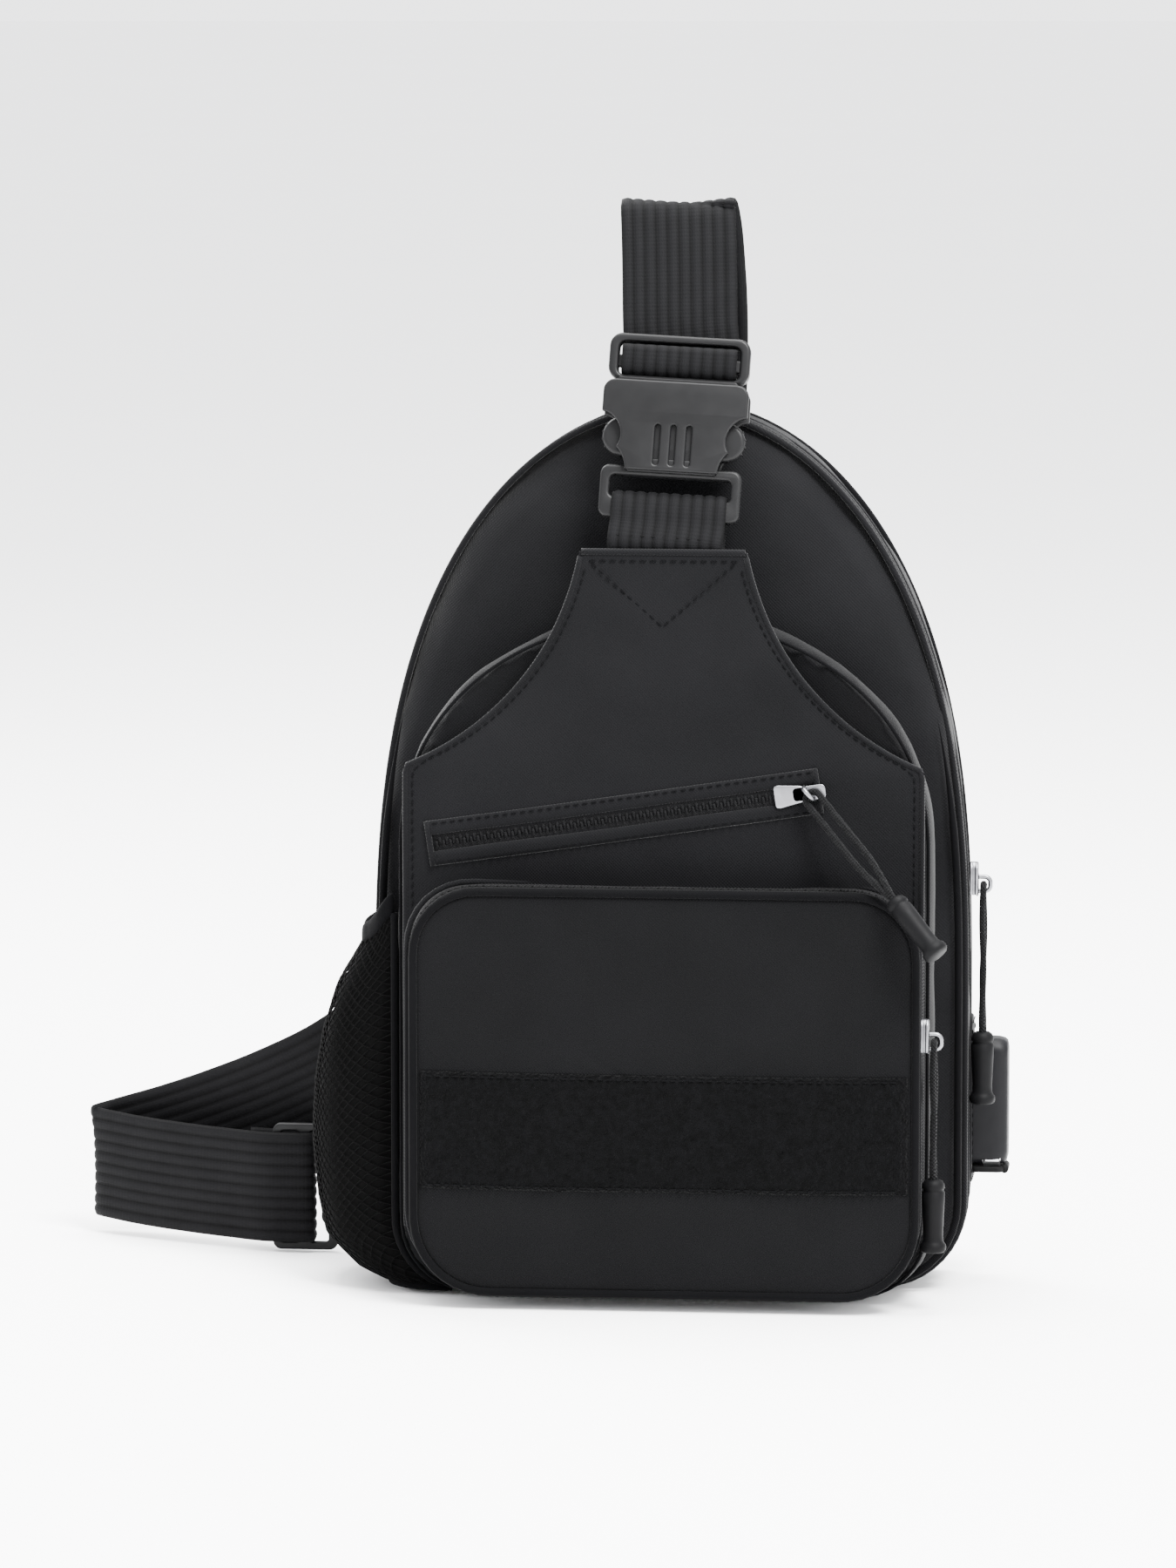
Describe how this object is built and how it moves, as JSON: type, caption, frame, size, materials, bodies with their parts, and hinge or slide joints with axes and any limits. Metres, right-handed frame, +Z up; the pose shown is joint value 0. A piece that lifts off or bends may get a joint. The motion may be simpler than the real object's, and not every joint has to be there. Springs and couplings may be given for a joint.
{
  "type": "sling bag",
  "caption": "Teardrop sling bag with zipped compartments, a front pocket, a mesh bottle pocket, a USB outlet and a webbing strap with a side-release buckle.",
  "frame": {"origin": "centre of the flat base the bag stands on", "axes": "+Z up, -Y towards the front of the bag, +X to the viewer's right"},
  "size_m": [0.3216, 0.1539, 0.3621],
  "materials": {
    "nylon": "matte woven nylon",
    "air_mesh": "knitted spacer mesh",
    "lining": "smooth lining",
    "board": "matte",
    "piping": "matte",
    "zip_tape": "matte, black coil",
    "loop_pile": "fuzzy loop pile",
    "mesh": "open mesh",
    "housing_plastic": "satin",
    "usb_metal": "brushed",
    "rubber": "matte",
    "webbing": "ribbed webbing",
    "buckle_plastic": "satin acetal",
    "slider_metal": "polished",
    "cord": "braided",
    "toggle_rubber": "satin"
  },
  "bodies": {
    "bag": {"base_panel": "nylon", "main_gusset": "nylon", "dome_front_panel": "nylon", "back_panel": "nylon", "back_pad_upper": "air_mesh", "back_pad_lower": "air_mesh", "inner_divider": "lining", "base_board": "board", "front_piping": "piping", "main_zipper_tape": "zip_tape", "front_gusset": "nylon", "front_panel": "nylon", "diagonal_welt": "nylon", "diagonal_zipper_tape": "zip_tape", "pocket_gusset": "nylon", "pocket_face": "nylon", "pocket_piping": "piping", "pocket_zipper_tape": "zip_tape", "loop_panel": "loop_pile", "mesh_pocket": "mesh", "mesh_binding": "piping", "usb_patch": "nylon", "usb_housing": "housing_plastic", "usb_socket": "usb_metal", "anchor_webbing": "webbing", "buckle_female": "buckle_plastic", "strap_back": "webbing", "strap_lower": "webbing", "tri_glide": "buckle_plastic", "corner_tab": "webbing"},
    "buckle_male": {"buckle_male": "buckle_plastic", "strap_front": "webbing"},
    "buckle_arm_left": {"buckle_arm_left": "buckle_plastic"},
    "buckle_arm_right": {"buckle_arm_right": "buckle_plastic"},
    "usb_cover": {"usb_cover": "rubber"},
    "diagonal_slider": {"diagonal_slider": "slider_metal"},
    "diagonal_pull": {"diagonal_pull_cord": "cord", "diagonal_pull_toggle": "toggle_rubber"},
    "pocket_slider": {"pocket_slider": "slider_metal"},
    "pocket_pull": {"pocket_pull_cord": "cord", "pocket_pull_toggle": "toggle_rubber"},
    "main_slider": {"main_slider": "slider_metal"},
    "main_pull": {"main_pull_cord": "cord", "main_pull_toggle": "toggle_rubber"}
  },
  "joints": [
    {"name": "buckle_release", "type": "slide", "parent": "bag", "child": "buckle_male", "axis": [0.0508, 0.2419, 0.969], "range_m": [0, 0.03]},
    {"name": "arm_left_squeeze", "type": "hinge", "parent": "buckle_male", "child": "buckle_arm_left", "pos_m": [-0.01257, -0.00953, 0.29674], "axis": [0.0127, -0.9703, 0.2416], "range_deg": [0, 8], "stiffness_Nm_per_rad": 0.02},
    {"name": "arm_right_squeeze", "type": "hinge", "parent": "buckle_male", "child": "buckle_arm_right", "pos_m": [0.01839, -0.00953, 0.29512], "axis": [-0.0127, 0.9703, -0.2416], "range_deg": [0, 8], "stiffness_Nm_per_rad": 0.02},
    {"name": "usb_cover_hinge", "type": "hinge", "parent": "bag", "child": "usb_cover", "pos_m": [0.111, 0.029, 0.0377], "axis": [0, -1, 0], "range_deg": [0, 100]},
    {"name": "diagonal_zip", "type": "slide", "parent": "bag", "child": "diagonal_slider", "axis": [0.989, 0, 0.1478], "range_m": [-0.105, 0]},
    {"name": "diagonal_pull_lift", "type": "hinge", "parent": "diagonal_slider", "child": "diagonal_pull", "pos_m": [0.0485, -0.03275, 0.1711], "axis": [-0.7431, 0, -0.6691], "range_deg": [0, 14.5]},
    {"name": "pocket_zip", "type": "slide", "parent": "bag", "child": "pocket_slider", "axis": [0, 0, 1], "range_m": [-0.018, 0.018]},
    {"name": "pocket_pull_lift", "type": "hinge", "parent": "pocket_slider", "child": "pocket_pull", "pos_m": [0.09025, -0.0355, 0.09], "axis": [0, -1, 0], "range_deg": [0, 80]},
    {"name": "main_zip", "type": "slide", "parent": "bag", "child": "main_slider", "axis": [0, 0, 1], "range_m": [-0.05, 0.012]},
    {"name": "main_pull_lift", "type": "hinge", "parent": "main_slider", "child": "main_pull", "pos_m": [0.10395, 0.012, 0.136], "axis": [0, -1, 0], "range_deg": [0, 80]}
  ],
  "couplings": [
    {"joint": "diagonal_pull_lift", "follows": "diagonal_zip", "rad_per_m": -2.4}
  ]
}
